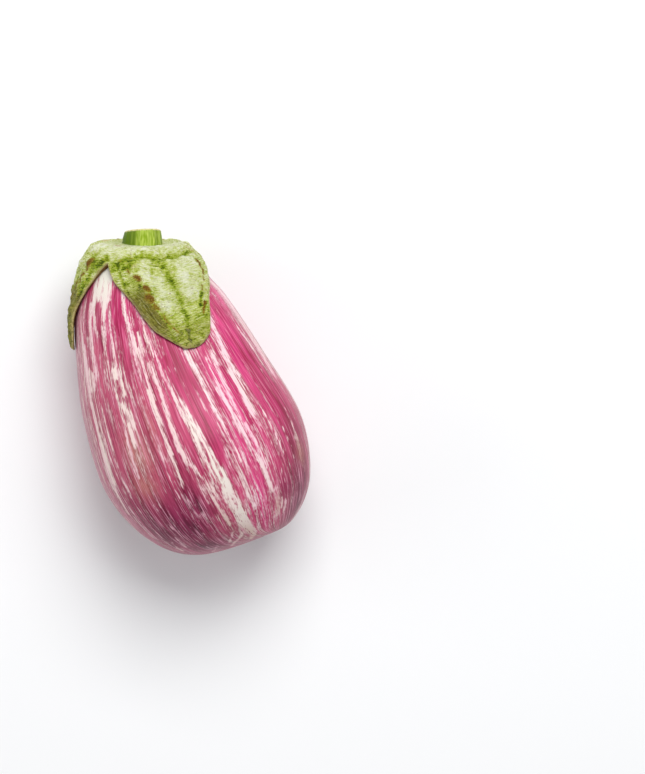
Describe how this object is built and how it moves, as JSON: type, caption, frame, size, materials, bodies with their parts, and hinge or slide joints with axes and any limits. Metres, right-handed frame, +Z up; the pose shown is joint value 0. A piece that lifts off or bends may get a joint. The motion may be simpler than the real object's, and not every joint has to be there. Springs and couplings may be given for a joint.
{
  "type": "eggplant",
  "caption": "Egg-shaped striped eggplant lying on its side, with a lobed green cap on its bent neck and a short cut stem.",
  "frame": {"origin": "centre of the underside of the part's bounding box, on the surface it rests on", "axes": "+Z up; +Y along the fruit from the blossom end to the stem; +X the side that the neck bends towards"},
  "size_m": [0.0907, 0.1459, 0.0901],
  "materials": {
    "skin": "smooth waxy skin, cream white with feathered pink to purple streaks along its length",
    "cap": "fleshy pale green, puckered, with brown scabs on its knobs and a tan rim",
    "stalk": "ribbed green stalk with a dried brown rim at the cut"
  },
  "bodies": {
    "root": {"fruit": "skin", "calyx": "cap", "stem": "stalk"}
  },
  "joints": []
}
